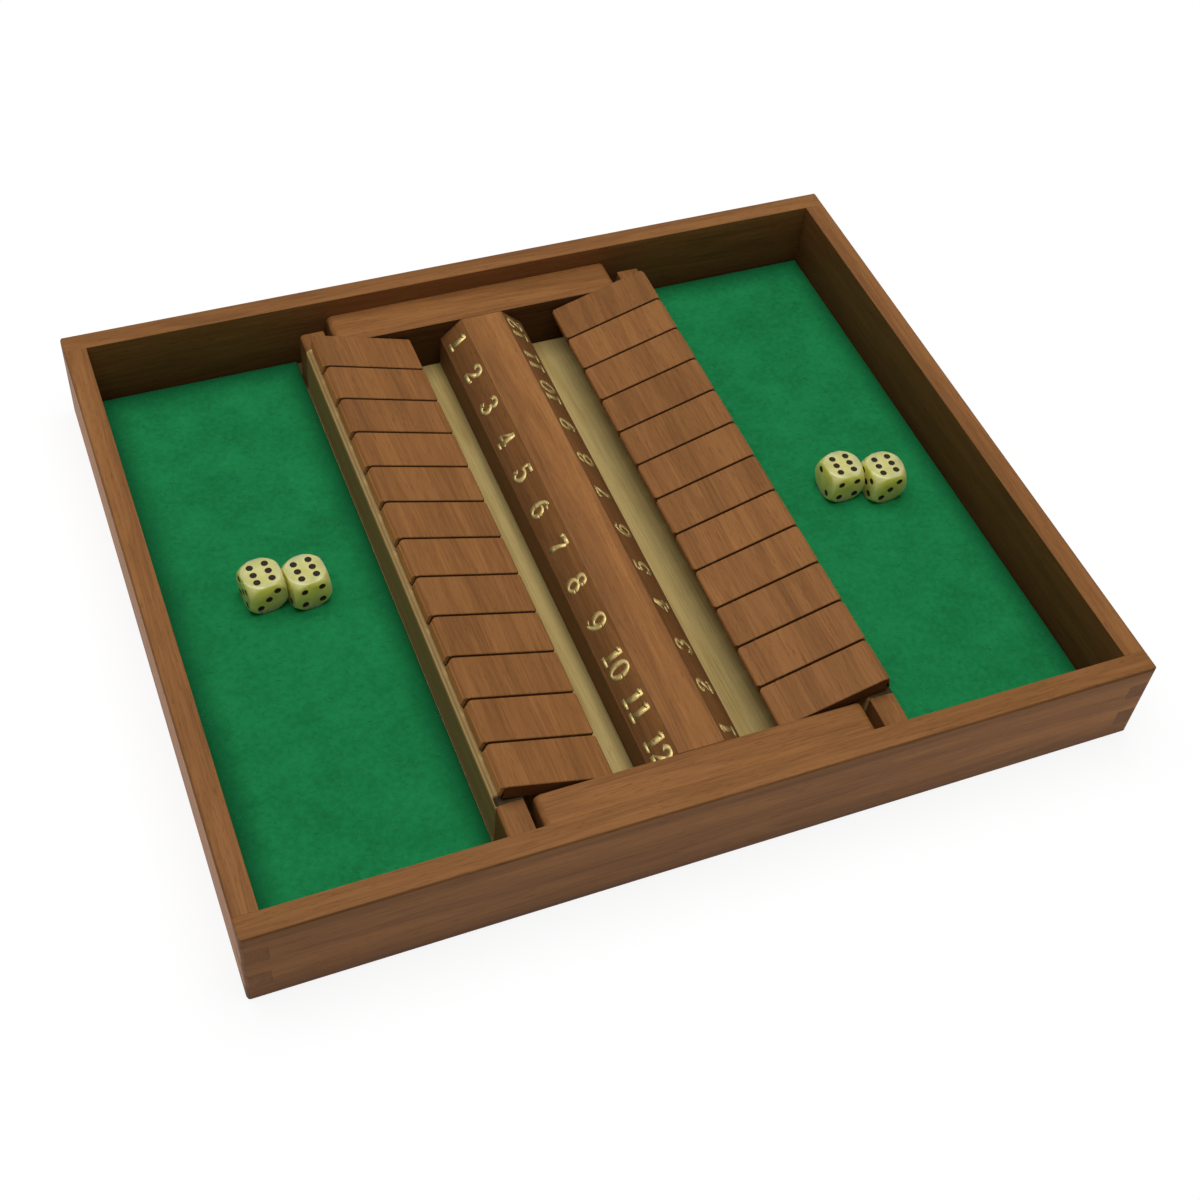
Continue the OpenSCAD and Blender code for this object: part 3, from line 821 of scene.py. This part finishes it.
def dieTree(sizes):
    # a cube trimmed by a ball, with a small ball taken out at every point of the mesh that it takes
    tree, given = startTree("pippedDie", sizes, takes="Pip Places")
    size = addNode(tree, "ShaderNodeCombineXYZ", {0: given["Width"], 1: given["Width"], 2: given["Width"]})
    block = addNode(tree, "GeometryNodeMeshCube", {
        "Size": size.outputs[0], "Vertices X": given["Cuts"], "Vertices Y": given["Cuts"],
        "Vertices Z": given["Cuts"]})
    where = addNode(tree, "GeometryNodeInputPosition")
    reach = addNode(tree, "ShaderNodeVectorMath", {0: where.outputs[0]}, operation="LENGTH")
    ball = addNode(tree, "ShaderNodeMath", {0: given["Ball Diameter"], 1: 0.5}, operation="MULTIPLY")
    kept = addNode(tree, "ShaderNodeMath", {
        0: reach.outputs["Value"], 1: ball.outputs[0], 2: given["Blend"]}, operation="SMOOTH_MIN")
    share = addNode(tree, "ShaderNodeMath", {
        0: kept.outputs[0], 1: reach.outputs["Value"]}, operation="DIVIDE")
    drawn = addNode(tree, "ShaderNodeVectorMath", {
        0: where.outputs[0], "Scale": share.outputs[0]}, operation="SCALE")
    body = addNode(tree, "GeometryNodeSetPosition", {
        "Geometry": block.outputs[0], "Position": drawn.outputs[0]})
    small = addNode(tree, "GeometryNodeMeshIcoSphere", {
        "Radius": given["Pip Ball Radius"], "Subdivisions": 5})
    placed = addNode(tree, "GeometryNodeInstanceOnPoints", {
        "Points": given["Pip Places"], "Instance": small.outputs[0]})
    cutters = addNode(tree, "GeometryNodeRealizeInstances", {"Geometry": placed.outputs[0]})
    carved = addNode(tree, "GeometryNodeMeshBoolean", {
        "Mesh 1": body.outputs[0], "Mesh 2": cutters.outputs[0]}, operation="DIFFERENCE", solver="EXACT")
    # a dimple's faces lie a little deeper than the flats and well inside the ball
    flatShare, ballShare = 0.4985, 0.95
    folded = addNode(tree, "ShaderNodeVectorMath", {0: where.outputs[0]}, operation="ABSOLUTE")
    part = addNode(tree, "ShaderNodeSeparateXYZ", {0: folded.outputs[0]})
    wider = addNode(tree, "ShaderNodeMath", {0: part.outputs[0], 1: part.outputs[1]}, operation="MAXIMUM")
    widest = addNode(tree, "ShaderNodeMath", {0: wider.outputs[0], 1: part.outputs[2]}, operation="MAXIMUM")
    flat = addNode(tree, "ShaderNodeMath", {0: given["Width"], 1: flatShare}, operation="MULTIPLY")
    rounding = addNode(tree, "ShaderNodeMath", {0: ball.outputs[0], 1: ballShare}, operation="MULTIPLY")
    deeper = addNode(tree, "ShaderNodeMath", {
        0: widest.outputs[0], 1: flat.outputs[0]}, operation="LESS_THAN")
    nearer = addNode(tree, "ShaderNodeMath", {
        0: reach.outputs["Value"], 1: rounding.outputs[0]}, operation="LESS_THAN")
    dimpled = addNode(tree, "ShaderNodeMath", {
        0: deeper.outputs[0], 1: nearer.outputs[0]}, operation="MULTIPLY")
    endTree(tree, carved.outputs[0], ivory, extra=(dimpled.outputs[0], pipPaint))
    return tree


def pipPlaces():
    # the middles of the small balls, all of them outside the die's faces
    out = dieSizes["Width"] / 2 - pipSizes["depth"] + dieSizes["Pip Ball Radius"]
    places = []
    for aboutX, aboutY, pips, step in dieFaces:
        turn = Matrix.Rotation(math.radians(aboutX), 3, "X") @ Matrix.Rotation(math.radians(aboutY), 3, "Y")
        for x, y in pips:
            pip = (x * step[0] * dieSizes["Width"], y * step[1] * dieSizes["Width"], out)
            places.append(turn @ Vector(pip))
    return places


def makeDice():
    tree = dieTree(dieSizes)
    for node, turn in dieTurns.items():
        low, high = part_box(node)
        start = bpy.data.meshes.new(node + "Pips")
        start.from_pydata(pipPlaces(), [], [])
        mesh = meshFromTree(pieceName(node), tree, dieSizes, start)
        middle = (low + high) / 2
        mesh.transform(Matrix.Translation(middle) @ Matrix.Rotation(math.radians(turn), 4, "Z"))
        mesh.shade_smooth()
        mesh.set_sharp_from_angle(angle=math.radians(25))
        die = bpy.data.objects.new(pieceName(node), mesh)
        scene.collection.objects.link(die)
        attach(die, node)
        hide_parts(node)


makeDice()
print("dice made")


# the gold numbers, stamped on both slopes of the ridge
numberSizes = {"Foil Height": 0.05 * mm}
numberPlaces = {
    "ridgeTop": 18 * mm, "slopeHeight": 8.6 * mm,       # the ridge's flat top and its slopes
    "upSlope": 2.0 * mm, "pitch": 20.0 * mm, "shift": -1.3 * mm,
    "count": 12, "size": 1.13, "weight": 1.45,
    "advance": 5.8, "middle": 3.1,      # mm from digit to digit, and to a digit's middle
    "lift": 0.004, "mostStrokes": 5,    # strokes that cross don't share a plane
}


def arc(x, y, rx, ry, start, end, thick, thin=0.8, steps=18):
    # points along part of an ellipse, thick where it runs upright and thin where it runs level
    points = []
    for i in range(steps + 1):
        angle = math.radians(start + (end - start) * i / steps)
        points.append((x + rx * math.cos(angle), y + ry * math.sin(angle),
                       thin + (thick - thin) * abs(math.cos(angle))))
    return points


# each numeral's strokes in mm: x to the right, y up from the baseline, and the stroke's width there
numerals = {
    "0": [arc(3.1, 4, 2.3, 3.5, 0, 360, 1.5, steps=32)],
    "1": [[(3.1, 0.3, 1.6), (3.1, 7.9, 1.6)], [(1.0, 0.45, 0.9), (5.2, 0.45, 0.9)],
          [(3.2, 7.3, 0.9), (2.2, 6.7, 0.9), (1.2, 6.5, 0.9)]],
    "2": [arc(3.1, 5.6, 2.0, 1.9, 175, -35, 1.5), [(4.9, 4.7, 1.4), (3.2, 3.0, 1.1), (1.1, 0.9, 1.0)],
          [(0.8, 0.75, 1.3), (5.2, 0.75, 1.3)], [(5.3, 0.3, 0.7), (5.5, 2.1, 0.7)],
          [(1.2, 5.2, 1.2), (1.6, 5.9, 1.5)]],
    "3": [arc(2.9, 5.95, 1.8, 1.6, 165, -90, 1.4), arc(2.8, 2.35, 2.2, 2.0, 90, -165, 1.5),
          [(1.1, 6.5, 1.2), (1.5, 5.9, 1.4)], [(0.7, 1.6, 1.2), (1.2, 2.2, 1.4)]],
    "4": [[(4.0, 7.8, 0.8), (0.8, 2.6, 0.8)], [(0.5, 2.5, 0.9), (5.8, 2.5, 0.9)],
          [(4.1, 7.9, 1.5), (4.1, 0.3, 1.5)], [(2.7, 0.45, 0.9), (5.5, 0.45, 0.9)]],
    "5": [[(1.4, 7.4, 1.2), (5.2, 7.4, 1.2)], [(1.5, 7.4, 0.8), (1.3, 4.2, 0.8)],
          arc(2.8, 2.75, 2.2, 2.3, 130, -160, 1.5), [(0.8, 1.8, 1.3), (1.3, 2.5, 1.4)]],
    "6": [arc(3.0, 2.65, 2.1, 2.25, 0, 360, 1.4, steps=32), arc(4.4, 3.0, 3.5, 4.5, 95, 185, 1.4),
          [(4.7, 7.0, 1.2), (4.5, 6.3, 1.5)]],
    "7": [[(0.9, 7.2, 1.4), (5.4, 7.2, 1.4)], [(0.9, 7.7, 0.8), (0.7, 5.8, 0.8)],
          [(5.2, 6.9, 0.9), (3.7, 4.2, 1.1), (3.0, 2.2, 1.5), (2.9, 0.2, 1.7)]],
    "8": [arc(3.0, 6.05, 1.7, 1.6, 0, 360, 1.3, steps=28), arc(3.0, 2.35, 2.1, 2.0, 0, 360, 1.4, steps=28)],
    "9": [arc(3.0, 5.35, 2.1, 2.25, 0, 360, 1.4, steps=32), arc(1.6, 5.0, 3.5, 4.5, -85, 5, 1.4),
          [(1.3, 1.0, 1.2), (1.5, 1.7, 1.5)]],
}


def foilTree(sizes):
    # flat strokes as wide as their points say, raised to the foil's height
    tree, given = startTree("stampedFoil", sizes, takes="Strokes")
    lines = addNode(tree, "GeometryNodeMeshToCurve", {"Mesh": given["Strokes"]})
    upright = addNode(tree, "GeometryNodeSetCurveNormal", {"Curve": lines.outputs[0]}, mode="Z_UP")
    width = addNode(tree, "GeometryNodeInputNamedAttribute", {"Name": "halfWidth"}, data_type="FLOAT")
    pen = addNode(tree, "GeometryNodeCurvePrimitiveLine", {"Start": (-1, 0, 0), "End": (1, 0, 0)})
    inked = addNode(tree, "GeometryNodeCurveToMesh", {
        "Curve": upright.outputs[0], "Profile Curve": pen.outputs[0], "Scale": width.outputs[0]})
    rise = addNode(tree, "ShaderNodeCombineXYZ", {2: given["Foil Height"]})
    risen = addNode(tree, "GeometryNodeExtrudeMesh", {
        "Mesh": inked.outputs[0], "Offset": rise.outputs[0], "Offset Scale": 1.0, "Individual": False})
    under = addNode(tree, "GeometryNodeFlipFaces", {"Mesh": inked.outputs[0]})
    strokes = addNode(tree, "GeometryNodeJoinGeometry")
    tree.links.new(risen.outputs[0], strokes.inputs[0])
    tree.links.new(under.outputs[0], strokes.inputs[0])
    closed = addNode(tree, "GeometryNodeMergeByDistance", {
        "Geometry": strokes.outputs[0], "Distance": 0.0005 * mm})
    endTree(tree, closed.outputs[0], foil)
    return tree


def numberMesh(tree, number):
    # one number, centred on its own middle, standing on y = 0
    vertices, edges, widths = [], [], []
    digits = str(number)
    size = numberPlaces["size"] * mm
    for place, digit in enumerate(digits):
        shift = (place - (len(digits) - 1) / 2) * numberPlaces["advance"] - numberPlaces["middle"]
        for order, stroke in enumerate(numerals[digit]):
            first = len(vertices)
            lift = numberPlaces["lift"] * (order + numberPlaces["mostStrokes"] * place)
            vertices += [Vector((x + shift, y, lift)) * size for x, y, _ in stroke]
            widths += [w / 2 * numberPlaces["weight"] * size for _, _, w in stroke]
            edges += [(i, i + 1) for i in range(first, len(vertices) - 1)]
    start = bpy.data.meshes.new("strokes" + digits)
    start.from_pydata(vertices, edges, [])
    addAttribute(start, "halfWidth", "FLOAT", "POINT", "value", widths)
    return meshFromTree("number" + digits, tree, numberSizes, start)


def makeNumbers():
    tree = foilTree(numberSizes)
    low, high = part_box("number_ridge")
    foot, top = high.x, numberPlaces["ridgeTop"] / 2
    shoulder = high.z - numberPlaces["slopeHeight"]
    middle = (numberPlaces["count"] + 1) / 2
    for side, sign in sides.items():
        up = Vector((-sign * (foot - top), 0, high.z - shoulder)).normalized()
        along = Vector((0, sign, 0))
        out = along.cross(up)
        work = bmesh.new()
        for number in range(1, numberPlaces["count"] + 1):
            mesh = numberMesh(tree, number)
            y = -sign * numberPlaces["pitch"] * (middle - number) + numberPlaces["shift"]
            base = Vector((sign * foot, y, shoulder)) + up * numberPlaces["upSlope"]
            mesh.transform(Matrix.Translation(base) @ Matrix((along, up, out)).transposed().to_4x4())
            work.from_mesh(mesh)
        bmesh.ops.recalc_face_normals(work, faces=work.faces)
        piece = meshObject("numbers" + side.capitalize(), work, foil)
        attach(piece, "case")


makeNumbers()
print("numbers stamped")
